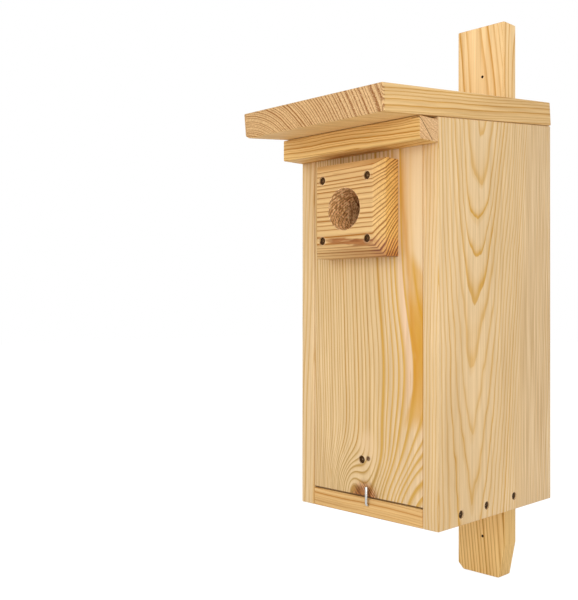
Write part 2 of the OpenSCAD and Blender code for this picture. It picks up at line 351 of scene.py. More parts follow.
class Nodes:
    """Adds nodes to one node tree, takes sockets or plain values as inputs, and returns output sockets."""

    def __init__(self, tree):
        self.tree = tree

    def node(self, kind, values=(), **settings):
        made = self.tree.nodes.new(kind)
        for name, value in settings.items():
            setattr(made, name, value)
        for name, value in dict(values).items():
            self.give(made.inputs[name], value)
        return made

    def give(self, socket, value):
        if isinstance(value, bpy.types.NodeSocket):
            self.tree.links.new(value, socket)
        elif socket.type == 'RGBA' and len(value) == 3:
            socket.default_value = (*value, 1)
        else:
            socket.default_value = value

    def maths(self, operation, *values, clamp=False):
        return self.node('ShaderNodeMath', enumerate(values), operation=operation, use_clamp=clamp).outputs[0]

    def add(self, first, *others):
        for other in others:
            first = self.maths('ADD', first, other)
        return first

    def minus(self, a, b):
        return self.maths('SUBTRACT', a, b)

    def times(self, first, *others):
        for other in others:
            first = self.maths('MULTIPLY', first, other)
        return first

    def scaled(self, value, factor, start):
        """The value times a factor, on top of a start."""
        return self.maths('MULTIPLY_ADD', value, factor, start)

    def size(self, value):
        return self.maths('ABSOLUTE', value)

    def xyz(self, vector):
        return self.node('ShaderNodeSeparateXYZ', {0: vector}).outputs

    def vector(self, x, y, z):
        return self.node('ShaderNodeCombineXYZ', {0: x, 1: y, 2: z}).outputs[0]

    def vector_maths(self, operation, *values):
        made = self.node('ShaderNodeVectorMath', enumerate(values), operation=operation)
        return made.outputs['Value' if operation == 'LENGTH' else 'Vector']

    def noise(self, vector, scale, detail, roughness=0.5):
        return self.node('ShaderNodeTexNoise', {
            'Vector': vector, 'Scale': scale, 'Detail': detail, 'Roughness': roughness}).outputs[0]

    def swing(self, vector, scale, detail=1.0):
        """Noise that swings from about -1 to 1."""
        return self.scaled(self.noise(vector, scale, detail), 4.0, -2.0)

    def ramp(self, factor, *stops):
        made = self.node('ShaderNodeValToRGB', {0: factor})
        elements = made.color_ramp.elements
        while len(elements) < len(stops):
            elements.new(1.0)
        for element, (place, level) in zip(elements, stops):
            element.position = place
            element.color = (level, level, level, 1) if isinstance(level, (int, float)) else (*level, 1)
        return made.outputs[0]

    def between(self, value, low, high):
        """0 below low and 1 above high, smoothly."""
        made = self.node('ShaderNodeMapRange', {0: value, 1: low, 2: high}, interpolation_type='SMOOTHSTEP')
        return made.outputs[0]

    def below(self, value, low, high):
        """1 below low and 0 above high, smoothly."""
        return self.minus(1.0, self.between(value, low, high))

    def within(self, value, start, full, fading, end):
        """Rises from 0 at start to 1 at full, and falls from fading to 0 at end."""
        return self.times(self.between(value, start, full), self.below(value, fading, end))

    def mix(self, factor, a, b, blend='MIX'):
        made = self.node('ShaderNodeMix', {0: factor, 6: a, 7: b}, data_type='RGBA', blend_type=blend)
        return made.outputs[2]

    def tinted(self, amount, colour, tint):
        """The colour, multiplied by a tint as far as the amount says."""
        return self.mix(amount, colour, self.mix(1.0, colour, tint, 'MULTIPLY'))

    def inked(self, amount, lines, colour, ink):
        """The colour, with an ink on the lines as far as the amount says."""
        return self.mix(self.maths('MULTIPLY', lines, amount, clamp=True), colour, ink)


def blank_material(name):
    material = bpy.data.materials.new(name)
    material.use_nodes = True
    material.node_tree.nodes.clear()
    return material, Nodes(material.node_tree)


GRAIN_INPUTS = (
    ("Place", 'NodeSocketVector', None),
    ("Normal", 'NodeSocketVector', None),
    ("Pith across", 'NodeSocketFloat', 0.0),
    ("Pith deep", 'NodeSocketFloat', 0.05),
    ("Lean across", 'NodeSocketFloat', 0.0),
    ("Lean deep", 'NodeSocketFloat', 0.0),
    ("Ring", 'NodeSocketFloat', 0.004),
    ("Waver", 'NodeSocketFloat', 0.002),
    ("Ripple", 'NodeSocketFloat', 0.002),
    ("Seed", 'NodeSocketFloat', 0.0),
    ("Pull", 'NodeSocketFloat', 0.0),
    ("Uneven", 'NodeSocketFloat', 1.0),
    ("Wave", 'NodeSocketFloat', 0.0),
    ("Tighten", 'NodeSocketFloat', 0.0),
    ("Point", 'NodeSocketFloat', 0.0),
    ("End contrast", 'NodeSocketFloat', 1.0),
    ("End tone", 'NodeSocketColor', (0.93, 0.84, 0.76, 1)),
    ("End late", 'NodeSocketColor', (0.90, 0.80, 0.72, 1)),
    ("Contrast", 'NodeSocketFloat', 1.0),
    ("Earlywood", 'NodeSocketColor', (0.8, 0.6, 0.35, 1)),
    ("Latewood", 'NodeSocketColor', (0.6, 0.35, 0.12, 1)),
)


def grain_group():
    """Sawn pine: rings round a leaning pith, fibres along it, and end grain."""
    if "Pine grain" in bpy.data.node_groups:
        return bpy.data.node_groups["Pine grain"]
    tree = bpy.data.node_groups.new("Pine grain", 'ShaderNodeTree')
    for name, kind, default in GRAIN_INPUTS:
        socket = tree.interface.new_socket(name, in_out='INPUT', socket_type=kind)
        if default is not None:
            socket.default_value = default
    for name in ("Colour", "Height", "Late", "Fibre"):
        kind = 'NodeSocketColor' if name == "Colour" else 'NodeSocketFloat'
        tree.interface.new_socket(name, in_out='OUTPUT', socket_type=kind)
    n = Nodes(tree)
    given = n.node('NodeGroupInput').outputs
    across, deep, along = n.xyz(given["Place"])
    seed = given["Seed"]

    def drawn_out(share):
        """The place, with the length along the board shrunk, so that a pattern is drawn out along it."""
        return n.vector(n.add(across, seed), deep, n.times(along, share))

    def pith(name, other):
        """The pith's place in one direction, which leans and wavers along the board."""
        lean = n.times(given["Lean " + name], along)
        waver = n.times(n.swing(n.vector(seed, other, along), 5.0), given["Waver"])
        return n.add(given["Pith " + name], lean, waver)

    side = n.minus(across, pith("across", 0.0))
    front = n.minus(deep, pith("deep", 7.0))
    beside = n.maths('MINIMUM', n.size(side), n.size(front))
    pointed = n.minus(1.0, n.maths('EXPONENT', n.times(beside, -120.0)))
    radius = n.add(n.vector_maths('LENGTH', n.vector(side, front, 0.0)), n.times(pointed, given["Point"]))

    # The rings ripple, broadly and finely, and are pulled aside where the board says so
    radius = n.add(radius, n.times(n.swing(drawn_out(0.16), 22.0), given["Ripple"]))
    radius = n.add(radius, n.times(n.swing(drawn_out(0.10), 110.0), n.times(given["Ripple"], 0.14)))
    radius = n.add(radius, n.times(n.swing(drawn_out(0.6), 26.0, 2.0), given["Wave"]))
    radius = n.add(radius, given["Pull"])

    # Ring number, with rings of unequal width
    count = n.maths('DIVIDE', radius, given["Ring"])
    count = n.times(count, n.scaled(radius, given["Tighten"], 1.0))
    uneven = n.noise(n.vector(n.times(count, 0.37), seed, 0.0), 1.0, 1.0)
    count = n.add(count, n.times(n.minus(uneven, 0.5), n.times(given["Uneven"], 2.4)))
    number = n.maths('FLOOR', count)
    each = n.node('ShaderNodeTexWhiteNoise', {0: n.vector(number, seed, 0.0)},
                  noise_dimensions='3D').outputs['Value']

    # The latewood line that ends each ring, some lines stronger than others
    part = n.maths('POWER', n.minus(count, number), n.scaled(each, 1.7, 0.75))
    line = n.ramp(part, (0.0, 0.3), (0.04, 0.0), (0.42, 0.05), (0.68, 0.34), (0.86, 1.0), (0.975, 1.0),
                  (1.0, 0.3))
    worn = n.noise(drawn_out(0.08), 60.0, 2.0)
    line = n.times(line, n.scaled(n.maths('FRACT', n.times(each, 7.0)), 0.50, 0.42), n.scaled(worn, 1.0, 0.5))

    # Fibres, resin canals and cloudy tint
    fibre = n.noise(drawn_out(0.018), 900.0, 3.0, 0.6)
    streak = n.noise(drawn_out(0.018), 240.0, 2.0, 0.55)
    canals = n.between(n.noise(drawn_out(0.07), 520.0, 1.0), 0.68, 0.80)
    cloud = n.noise(drawn_out(0.35), 14.0, 3.0)
    warm = n.ramp(cloud, (0.30, (0.93, 0.90, 0.84)), (0.70, (1.05, 1.04, 1.03)))

    colour = n.mix(n.times(line, given["Contrast"]), given["Earlywood"], given["Latewood"])
    colour = n.mix(1.0, colour, warm, 'MULTIPLY')
    shade = n.ramp(n.add(n.times(fibre, 0.5), n.times(streak, 0.5)),
                   (0.35, (0.86, 0.82, 0.76)), (0.65, (1.09, 1.10, 1.12)))
    colour = n.mix(1.0, colour, shade, 'MULTIPLY')
    colour = n.mix(n.times(canals, 0.28), colour, given["Latewood"])

    # End grain, where the surface faces along the board
    end = n.between(n.size(n.xyz(given["Normal"])[2]), 0.55, 0.85)
    pores = n.ramp(n.noise(given["Place"], 950.0, 3.0, 0.7),
                   (0.38, (0.74, 0.66, 0.56)), (0.60, (1.08, 1.08, 1.08)))
    end_line = n.maths('MULTIPLY', line, given["End contrast"], clamp=True)
    end_colour = n.mix(end_line, n.mix(1.0, given["Earlywood"], given["End tone"], 'MULTIPLY'),
                       n.mix(1.0, given["Latewood"], given["End late"], 'MULTIPLY'))
    end_colour = n.mix(1.0, n.mix(1.0, end_colour, pores, 'MULTIPLY'), warm, 'MULTIPLY')
    colour = n.mix(end, colour, end_colour)

    height = n.add(n.times(line, 0.35), n.add(n.times(fibre, 0.45), n.times(streak, 0.2)))
    n.node('NodeGroupOutput', {"Colour": colour, "Height": height, "Late": line, "Fibre": fibre})
    return tree


def pine(name, turn=ALONG_Z, extra=None, pull=None, tone=(1, 1, 1), late_tone=(1, 1, 1), **grain):
    """A board's material. The grain's values are in metres, in the frame that the turn brings in.

    Extra adds marks to the colour and the height, and pull moves the rings, both by object coordinates.
    """
    if name in bpy.data.materials:
        return bpy.data.materials[name]
    material, n = blank_material(name)
    where = n.node('ShaderNodeTexCoord').outputs
    place = n.node('ShaderNodeMapping', {'Vector': where['Object'], 'Rotation': turn}).outputs[0]
    normal = n.node('ShaderNodeMapping', {'Vector': where['Normal'], 'Rotation': turn},
                    vector_type='NORMAL').outputs[0]
    early = [a * b for a, b in zip(colours().earlywood, tone)]
    late = [a * b for a, b in zip(colours().latewood, late_tone)]
    values = {"Place": place, "Normal": normal, "Earlywood": early, "Latewood": late}
    values.update({key.replace('_', ' ').capitalize(): value for key, value in grain.items()})
    if pull:
        values["Pull"] = pull(n, where['Object'])
    wood = n.node('ShaderNodeGroup', values, node_tree=grain_group()).outputs
    colour, height = wood['Colour'], wood['Height']
    if extra:
        colour, height = extra(n, where['Object'], colour, height, wood['Late'])
    bump = n.node('ShaderNodeBump', {'Height': height, 'Strength': 0.55, 'Distance': 0.35 * MM}).outputs[0]
    roughness = n.scaled(wood['Fibre'], 0.22, 0.51)
    shader = n.node('ShaderNodeBsdfPrincipled', {
        'Base Color': colour, 'Roughness': roughness, 'Normal': bump, 'Specular IOR Level': 0.32})
    n.node('ShaderNodeOutputMaterial', {'Surface': shader.outputs[0]})
    return material


def metal(name, colour, rough, speck):
    """Worn metal: fine scratches in its roughness and bump, and specks that are duller or brighter."""
    material, n = blank_material(name)
    where = n.node('ShaderNodeTexCoord').outputs['Object']
    scratch = n.noise(where, 900.0, 3.0)
    specks = n.between(n.noise(where, 1600.0, 2.0), 0.46, 0.62)
    bump = n.node('ShaderNodeBump', {'Height': scratch, 'Strength': 0.35, 'Distance': 0.1 * MM}).outputs[0]
    roughness = n.scaled(scratch, 0.3, rough - 0.15)
    worn = [value * speck for value in colour]
    tint = n.mix(specks, colour, worn)
    shader = n.node('ShaderNodeBsdfPrincipled', {
        'Base Color': tint, 'Metallic': 1.0, 'Roughness': roughness, 'Normal': bump})
    n.node('ShaderNodeOutputMaterial', {'Surface': shader.outputs[0]})
    return material


def seen_directly(n):
    """1 for what the camera, a mirror or glass sees, and 0 for what only lights the object."""
    path = n.node('ShaderNodeLightPath').outputs
    return n.maths('MAXIMUM', path['Is Camera Ray'],
                   n.maths('MAXIMUM', path['Is Glossy Ray'], path['Is Transmission Ray']))


# Marks on the boards, which change the colour and the height, some with painted shade and highlights, and
# pulls, which move the rings

def spot(n, place, x, z, inner, outer):
    """1 within a distance of a place on the front, falling to 0 at the outer distance."""
    across, _, up = n.xyz(place)
    distance = n.vector_maths('LENGTH', n.vector(n.minus(across, x), 0.0, n.minus(up, z)))
    return n.below(distance, inner, outer)


def dent(n, place, x, z, left, right, tall, depth):
    """Moves the rings most at one place on the front, less to its left, its right and along the board."""
    across, _, up = n.xyz(place)
    beside = n.minus(across, x)
    beside = n.maths('MAXIMUM', n.maths('DIVIDE', beside, right), n.maths('DIVIDE', beside, -left))
    above = n.maths('DIVIDE', n.minus(up, z), tall)
    far = n.add(n.times(beside, beside), n.times(above, above))
    return n.times(n.maths('EXPONENT', n.times(far, -1.0)), depth)


def near_sides(n, x, node, start, full):
    """1 at a board's two side faces, falling to 0 inside it."""
    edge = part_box(node)[1][0]
    return n.between(n.size(x), edge - start, edge - full)


def bore_wear_and_highlights(n, place, colour, height, late):
    """Torn, darker wood in the entrance hole's bore, with painted highlights that brighten its shaded wall.
    """
    radius = sizes().hole_width / 2
    inside = spot(n, place, sizes().hole_right, sizes().hole_height, radius + 0.1 * MM, radius + 0.8 * MM)
    torn = n.noise(place, 320.0, 4.0, 0.65)
    # The ramp's top stop, above 1, is a painted highlight that brightens the bore's shaded wall.
    tone = n.ramp(torn, (0.38, (0.40, 0.17, 0.055)), (0.5, (0.88, 0.53, 0.24)), (0.62, (1.6, 1.14, 0.66)))
    colour = n.mix(n.times(inside, 0.75), colour, tone)
    torn_line = n.maths('MULTIPLY', late, n.times(inside, 2.0), clamp=True)
    colour = n.mix(n.times(torn_line, 0.6), colour, (0.25, 0.09, 0.025))
    return colour, n.add(height, n.times(inside, torn, 5.0))


def torn_rims_and_recess_shade(n, place, colour, height, node, flat):
    """Pale torn fibres round each screw head of a CAD node and painted shade in and round its recess, with
    flat 0 along the screws.
    """
    closest = None
    for low, high in solids(node):
        away = n.vector_maths('SUBTRACT', place, (low + high) / 2)
        distance = n.vector_maths('LENGTH', n.vector_maths('MULTIPLY', away, flat))
        closest = distance if closest is None else n.maths('MINIMUM', closest, distance)
    ragged = n.add(closest, n.times(n.swing(place, 300.0, 2.0), 0.9 * MM))
    rim = n.within(ragged, 3.2 * MM, 4 * MM, 4.6 * MM, 6 * MM)
    colour = n.mix(n.times(rim, 0.16), colour, (1.0, 0.74, 0.50))
    # Painted shade: the wood in and just round each screw recess is darkened.
    shade = n.below(ragged, 2.4 * MM, 3.6 * MM)
    colour = n.mix(n.times(shade, 0.5), colour, (0.16, 0.075, 0.03))
    return colour, n.add(height, n.times(rim, 1.5))


def side_pull(n, place):
    """Draws the arches on the right side board out toward its foot, with close rings toward the rear."""
    _, y, z = n.xyz(place)
    rear = n.maths('MAXIMUM', n.minus(y, n.scaled(z, 0.07, -105 * MM)), 0.0)
    return n.add(n.times(z, z, -0.037), n.times(rear, 1.2))


def side_marks(n, place, colour, height, late):
    """Close, fine streaks toward the rear, and torn rims with painted shade in their recesses round the
    screws in the floor's edge.
    """
    _, y, z = n.xyz(place)
    wander = n.times(n.swing(n.vector(4.0, 0.0, z), 9.0), 2 * MM)
    fine = n.noise(n.vector(0.0, n.add(y, wander), n.times(z, 0.012)), 620.0, 1.0)
    rear = n.between(n.add(y, n.times(z, -0.05)), -125 * MM, -82 * MM)
    colour = n.mix(n.times(rear, 0.5), colour, (0.76, 0.55, 0.305))
    tint = n.ramp(fine, (0.38, (0.85, 0.80, 0.73)), (0.62, (1.09, 1.12, 1.20)))
    colour = n.tinted(rear, colour, tint)
    return torn_rims_and_recess_shade(n, place, colour, height, "right_floor_screws", (0, 1, 1))


def front_pull(n, place):
    """The grain's swing round the knot at the foot, its fan at the lower right and its bow above that."""
    knot = dent(n, place, -23 * MM, 21 * MM, 28 * MM, 20 * MM, 40 * MM, -35 * MM)
    beside_knot = dent(n, place, 18 * MM, 61 * MM, 32 * MM, 32 * MM, 28 * MM, 5 * MM)
    fan = dent(n, place, 85 * MM, 0.0, 75 * MM, 100 * MM, 60 * MM, -45 * MM)
    bow = dent(n, place, 60 * MM, 165 * MM, 60 * MM, 60 * MM, 60 * MM, 6 * MM)
    return n.add(knot, beside_knot, n.add(fan, bow))


def resin_streak(n, x, z):
    """The front panel's resin streak, its darker border and the pale wood to its left, each from 0 to 1."""
    ragged = n.times(n.swing(n.vector(n.times(x, 1.5), 0.0, n.times(z, 0.35)), 60.0, 3.0), 2.2 * MM)
    up = n.maths('DIVIDE', z, PANEL_TOP)
    left_edge = n.ramp(up, *((at / PANEL_TOP, across / STREAK_SCALE) for at, across in STREAK_LEFT))
    inside = n.minus(n.add(x, ragged), n.times(left_edge, STREAK_SCALE))
    beyond = n.minus(inside, n.times(n.below(z, 222 * MM, 285 * MM), 30 * MM))
    cloudy = n.between(n.noise(n.vector(x, 3.0, n.times(z, 0.4)), 26.0, 2.0), 0.36, 0.60)
    streak = n.times(n.between(inside, -1.5 * MM, 3 * MM), n.below(beyond, 2 * MM, 14 * MM),
                     n.ramp(up, *((at / PANEL_TOP, level) for at, level in STREAK_STRENGTH)),
                     n.scaled(cloudy, 0.2, 0.8))
    border = n.times(n.within(inside, -2 * MM, 1 * MM, 3 * MM, 8 * MM),
                     n.within(z, 100 * MM, 150 * MM, 300 * MM, 370 * MM))
    pale = n.times(n.within(inside, -16 * MM, -6 * MM, -4 * MM, 1 * MM),
                   n.within(z, 100 * MM, 150 * MM, 240 * MM, 310 * MM))
    return streak, border, pale


def front_rings(n, place, colour, late):
    """The front panel's golden rings and resin streak at the right, and the oval and the fan by its knot."""
    x, _, z = n.xyz(place)
    streak, border, pale = resin_streak(n, x, z)
    colour = n.tinted(n.times(pale, 0.8), colour, (1.06, 1.0, 1.12))

    # Golden rings at the right and calm wood at the upper right, under the streak
    right = n.between(x, 12 * MM, 34 * MM)
    between_rings = n.times(n.minus(1.0, n.maths('MULTIPLY', late, 2.5, clamp=True)), right)
    colour = n.tinted(n.times(between_rings, 0.6), colour, (0.98, 0.985, 1.10))
    colour = n.inked(n.times(right, 1.5), late, colour, (0.70, 0.395, 0.075))
    calm = n.times(n.between(x, 53 * MM, 60 * MM), n.between(z, 245 * MM, 285 * MM))
    colour = n.mix(n.times(calm, 0.65), colour, colours().earlywood)
    colour = n.mix(n.times(streak, 0.92), colour, colours().resin)

    # The clear oval above the knot and the fan of rings to its right
    oval = spot(n, n.vector(x, 0.0, n.times(z, 0.6)), 3 * MM, 42 * MM, 7 * MM, 17 * MM)
    clear = n.mix(1.0, colours().earlywood, (1.0, 0.95, 0.93), 'MULTIPLY')
    colour = n.mix(n.times(oval, 0.6), colour, clear)
    fan = n.times(n.between(x, 0.0, 30 * MM), n.below(z, 90 * MM, 170 * MM))
    colour = n.inked(n.times(fan, 2.0), late, colour, (0.64, 0.36, 0.075))
    return n.tinted(n.times(border, 0.5), colour, (0.95, 0.80, 0.60))


def front_knots(n, place, colour, height, late):
    """The knot at the hook, with the swirl round it, and the pin knot by the pull screw."""
    x, _, z = n.xyz(place)
    swirl = spot(n, place, -12 * MM, 30 * MM, 22 * MM, 50 * MM)
    colour = n.inked(n.times(swirl, 2.4), late, colour, (0.50, 0.29, 0.075))
    heart = spot(n, place, -1 * MM, 18 * MM, 11 * MM, 24 * MM)
    hatch = n.noise(n.vector(n.add(x, n.times(z, 0.8)), 0.0, n.times(n.minus(z, x), 0.1)), 620.0, 1.0)
    hatch = n.ramp(hatch, (0.42, (0.28, 0.13, 0.08)), (0.58, (0.85, 0.56, 0.40)))
    colour = n.tinted(heart, colour, hatch)
    core = n.times(spot(n, place, 3.8 * MM, 61.5 * MM, 1.6 * MM, 3.6 * MM),
                   n.between(n.noise(place, 700.0, 2.0), 0.30, 0.42))
    return n.mix(core, colour, colours().knot), n.add(height, n.times(core, -2.0))


def front_marks(n, place, colour, height, late):
    """The front panel's rings, resin streak and knots, painted shade along its lower edge at the gap to the
    floor, the torn rim and painted recess shade round the pull screw, and the worn bore with painted
    highlights.
    """
    colour = front_rings(n, place, colour, late)
    colour, height = front_knots(n, place, colour, height, late)
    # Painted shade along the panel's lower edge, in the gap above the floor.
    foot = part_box("front_panel")[0][2]
    edge = n.below(n.xyz(place)[2], foot + 0.5 * MM, foot + 1.3 * MM)
    colour = n.mix(n.times(edge, 0.75), colour, (0.14, 0.06, 0.025))
    colour, height = torn_rims_and_recess_shade(n, place, colour, height, "pull_screw", (1, 0, 1))
    return bore_wear_and_highlights(n, place, colour, height, late)


def block_marks(n, place, colour, height, late):
    """The dark reddish streak low on the block, painted shade on its downward-facing foot, the torn rims with
    painted recess shade, and the bore with painted highlights.
    """
    x, y, z = n.xyz(place)
    drift = n.add(n.times(x, 0.11), n.times(n.swing(n.vector(n.times(x, 0.5), y, 0.0), 40.0), 1.2 * MM))
    level = n.add(z, drift)
    worn = n.noise(n.vector(n.times(x, 0.12), y, z), 420.0, 2.0)
    from_streak = n.size(n.minus(level, n.scaled(worn, 7 * MM, BLOCK_STREAK)))
    wide = n.times(n.between(x, -42 * MM, -12 * MM), 3.2 * MM)
    streak = n.times(n.below(n.minus(from_streak, wide), -1 * MM, 1.2 * MM),
                     n.within(x, -42 * MM, -18 * MM, 20 * MM, 46 * MM))
    stroke = n.ramp(n.noise(n.vector(n.times(x, 0.06), y, level), 900.0, 2.0),
                    (0.40, (0.44, 0.175, 0.045)), (0.60, (0.29, 0.095, 0.018)))
    colour = n.mix(n.times(streak, n.between(worn, 0.0, 0.5)), colour, stroke)
    corner = n.times(n.between(x, 22 * MM, 40 * MM), n.below(z, 284 * MM, 300 * MM))
    colour = n.inked(n.times(corner, 2.5), late, colour, (0.22, 0.065, 0.03))
    colour = n.tinted(n.times(corner, 0.6), colour, (0.95, 0.76, 0.72))
    # Painted shade on the block's downward-facing foot.
    foot = n.times(n.below(level, 281 * MM, 291 * MM), n.between(x, -55 * MM, 25 * MM))
    colour = n.tinted(n.times(foot, 0.95), colour, (0.70, 0.58, 0.50))
    colour, height = torn_rims_and_recess_shade(n, place, colour, height, "block_screws", (1, 0, 1))
    return bore_wear_and_highlights(n, place, colour, height, late)


def roof_pull(n, place):
    """Brings more rings through the roof's side faces than its end grain alone would."""
    x, y, z = n.xyz(place)
    start_y, start_z, _, thickness = roof_line()
    sine, cosine = math.sin(sizes().roof_slope), math.cos(sizes().roof_slope)
    middle = start_z * cosine - start_y * sine + thickness / 2
    above = n.minus(n.minus(n.times(z, cosine), n.times(y, sine)), middle)
    return n.times(above, near_sides(n, x, "roof_board", 3 * MM, 0.5 * MM), 0.8)


def roof_marks(n, place, colour, height, late):
    """Darker rings and pale specks in the right half of the end grain."""
    x, y, _ = n.xyz(place)
    front = n.below(y, ROOF_FRONT + 2 * MM, ROOF_FRONT + 5 * MM)
    right = n.times(front, n.between(x, -30 * MM, 70 * MM))
    rings = n.maths('MULTIPLY', late, 2.4, clamp=True)
    colour = n.mix(n.times(rings, right, 0.9), colour, (0.27, 0.085, 0.006))
    specks = n.between(n.noise(place, 1100.0, 2.0, 0.7), 0.46, 0.64)
    return n.mix(n.times(right, specks, 0.45), colour, (1.0, 0.70, 0.38)), height


def batten_crack_shade(n, place, colour, height, late):
    """Painted shade inside the crack in the batten's right end."""
    x, y, z = n.xyz(place)
    start, end = Vector(CRACK[0]), Vector(CRACK[1])
    length, way = (end - start).length, (end - start).normalized()
    deep, up = n.minus(y, start.x), n.minus(z, start.y)
    beside = n.size(n.minus(n.times(deep, way.y), n.times(up, way.x)))
    along = n.add(n.times(deep, way.x), n.times(up, way.y))
    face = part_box("front_batten")[1][0]
    # Painted shade along the crack's inside.
    dark = n.times(n.below(beside, 0.3 * MM, 0.65 * MM),
                   n.within(along, -0.5 * MM, 0.5 * MM, length, length + 1 * MM),
                   n.between(x, face - 11 * MM, face - 9 * MM))
    return n.mix(n.times(dark, 0.6), colour, (0.14, 0.05, 0.02)), height


def slat_pull(n, place):
    """Brings more rings, upright ones, through the narrow faces of the slat's head."""
    x, y, z = n.xyz(place)
    head = n.times(near_sides(n, x, "mounting_slat", 2.5 * MM, 0.3 * MM), n.between(z, 100 * MM, 200 * MM))
    return n.times(head, n.minus(n.times(y, 0.5), n.times(z, 0.06)))


def slat_marks(n, place, colour, height, late):
    """Painted light that makes the slat's head paler, darker rings at its foot, and painted shade in the nail
    holes.
    """
    _, _, z = n.xyz(place)
    # Painted light: the slat's head is made paler.
    head = n.between(z, 300 * MM, 460 * MM)
    colour = n.tinted(n.times(head, 0.45), colour, (1.18, 1.22, 1.30))
    foot = n.below(z, -20 * MM, 60 * MM)
    colour = n.inked(n.times(foot, 1.2), late, colour, (0.50, 0.26, 0.05))
    colour = n.tinted(foot, colour, (1.01, 1.02, 0.90))
    radius = sizes().nail_hole / 2
    # Painted shade in the nail holes.
    for hole in NAIL_HEIGHTS:
        dark = spot(n, place, NAIL_ACROSS, hole, radius, radius + 0.5 * MM)
        colour = n.mix(dark, colour, (0.055, 0.022, 0.008))
    return colour, height


# The boards

def roof_line():
    """Start of the roof's underside at its front, its length and its thickness, from the CAD box."""
    low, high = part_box("roof_board")
    slope = sizes().roof_slope
    rise = high[2] - low[2]
    run = high[1] - low[1]
    length = (run - rise * math.tan(slope)) / (math.cos(slope) - math.sin(slope) * math.tan(slope))
    thickness = (rise - length * math.sin(slope)) / math.cos(slope)
    return low[1] + thickness * math.sin(slope), low[2], length, thickness


def under_roof(y):
    start_y, start_z, _, _ = roof_line()
    return start_z + (y - start_y) * math.tan(sizes().roof_slope)


def roofed_plank(name, node):
    """A standing board whose top follows the roof."""
    low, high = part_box(node)
    plank = cuboid(name, low, high)
    drop = under_roof(high[1]) - under_roof(low[1])
    edit(plank, 'VERT', lambda v: v.co.z > high[2] - MM and v.co.y < low[1] + MM)
    bpy.ops.transform.translate(value=(0, 0, -drop))
    leave_edit()
    round_edges(plank, sizes().arris)
    return plank


def heads(node, direction, turn=Matrix.Identity(3)):
    """Place, outward way, radius and length of each screw or nail of a CAD node."""
    direction = Vector(direction)
    found = []
    for low, high in solids(node, turn):
        extent = high - low
        length = abs(extent.dot(direction))
        radius = min(value for value, axis in zip(extent, (X, Y, Z)) if abs(axis.dot(direction)) < 0.5) / 2
        found.append((turn @ ((low + high) / 2 + direction * length / 2), turn @ direction, radius, length))
    return found


def screw_recesses(plank, node, direction, turn=Matrix.Identity(3)):
    """Cuts a round recess over each screw head of a CAD node."""
    for head, way, radius, _ in heads(node, direction, turn):
        cut(plank, cylinder("recess", head - way * 0.5 * MM, way, radius + 0.35 * MM, 6 * MM, 24))


def bore(thing, front):
    """Cuts the entrance hole through a piece whose front face lies at a place along Y."""
    mouth = (sizes().hole_right, front - CLEAR, sizes().hole_height)
    cut(thing, cylinder("hole", mouth, Y, sizes().hole_width / 2, 60 * MM, 96))


class NESTBOX_OT_stage(Operator):
    """Add the pale floor, the soft lamps and the camera"""
    bl_idname = "nestbox.stage"
    bl_label = "Stage"

    def execute(self, context):
        deselect()
        bpy.ops.mesh.primitive_plane_add(size=12, location=(0, 0, CAD_BOX[0][2] - 1 * MM))
        floor = settle("studio_floor")
        material, n = blank_material("studio_white")
        paint = n.node('ShaderNodeBsdfDiffuse', {'Color': (0.86, 0.86, 0.86)}).outputs[0]
        glow = n.node('ShaderNodeEmission', {'Color': (1, 1, 1), 'Strength': 1.13}).outputs[0]
        share = n.times(seen_directly(n), 0.86)
        mixed = n.node('ShaderNodeMixShader', {0: share, 1: paint, 2: glow}).outputs[0]
        n.node('ShaderNodeOutputMaterial', {'Surface': mixed})
        floor.data.materials.append(material)

        world = bpy.data.worlds.new("studio")
        world.use_nodes = True
        world.node_tree.nodes.clear()
        w = Nodes(world.node_tree)
        strength = w.scaled(seen_directly(w), 0.48, 0.52)
        background = w.node('ShaderNodeBackground', {'Color': (1, 1, 1), 'Strength': strength}).outputs[0]
        w.node('ShaderNodeOutputWorld', {'Surface': background})
        context.scene.world = world

        middle = Vector((0, -0.14, 0.22))
        self.lamp("key", middle, (-0.6, -2.0, 0.7), 1.6, 12)
        self.lamp("side", middle, (2.1, -0.5, 0.6), 1.6, 11)
        self.lamp("front", middle, (1.45, -1.75, 0.35), 1.0, 11)
        self.lamp("back", middle, (-0.8, 1.8, 1.3), 1.2, 13)

        camera_data = bpy.data.cameras.new("photo_view")
        camera_data.lens = 51.91
        camera_data.sensor_width = 36
        camera = bpy.data.objects.new("photo_view", camera_data)
        camera.location = (0.603, -0.9495, 0.2265)
        camera.rotation_euler = (math.radians(90.229), math.radians(-0.037), math.radians(45.639))
        context.collection.objects.link(camera)
        context.scene.camera = camera
        context.scene.view_settings.view_transform = 'Standard'
        return {'FINISHED'}

    def lamp(self, name, target, offset, size, power):
        data = bpy.data.lights.new(name, 'AREA')
        data.size = size
        data.energy = power
        lamp = bpy.data.objects.new(name, data)
        lamp.location = target + Vector(offset)
        lamp.rotation_euler = (-Vector(offset)).to_track_quat('-Z', 'Y').to_euler()
        bpy.context.collection.objects.link(lamp)


class NESTBOX_OT_side_boards(Operator):
    """Add the left and the right side board"""
    bl_idname = "nestbox.side_boards"
    bl_label = "Side boards"

    def execute(self, context):
        right = roofed_plank("right_board", "right_side")
        screw_recesses(right, "right_floor_screws", X)
        smooth(right)
        finish(right, pine("right_board_pine", extra=side_marks, pull=side_pull,
                           pith_across=-0.0055, pith_deep=-0.1925,
                           lean_across=0.037, lean_deep=0.050, ring=0.0021, tighten=-1.6, point=0.0003,
                           waver=0.0012, ripple=0.0015, seed=3.0, uneven=0.15, wave=0.0008, contrast=1.25,
                           tone=(0.985, 0.985, 0.99), late_tone=(1.08, 1.08, 0.90)),
               "box", "right_side")
        left = roofed_plank("left_board", "left_side")
        screw_recesses(left, "left_floor_screws", -X)
        smooth(left)
        finish(left, pine("left_board_pine", pith_across=-0.180, pith_deep=-0.130, lean_across=0.04,
                          ring=0.0040, waver=0.001, ripple=0.0012, seed=11.0, contrast=0.8),
               "box", "left_side")
        return {'FINISHED'}


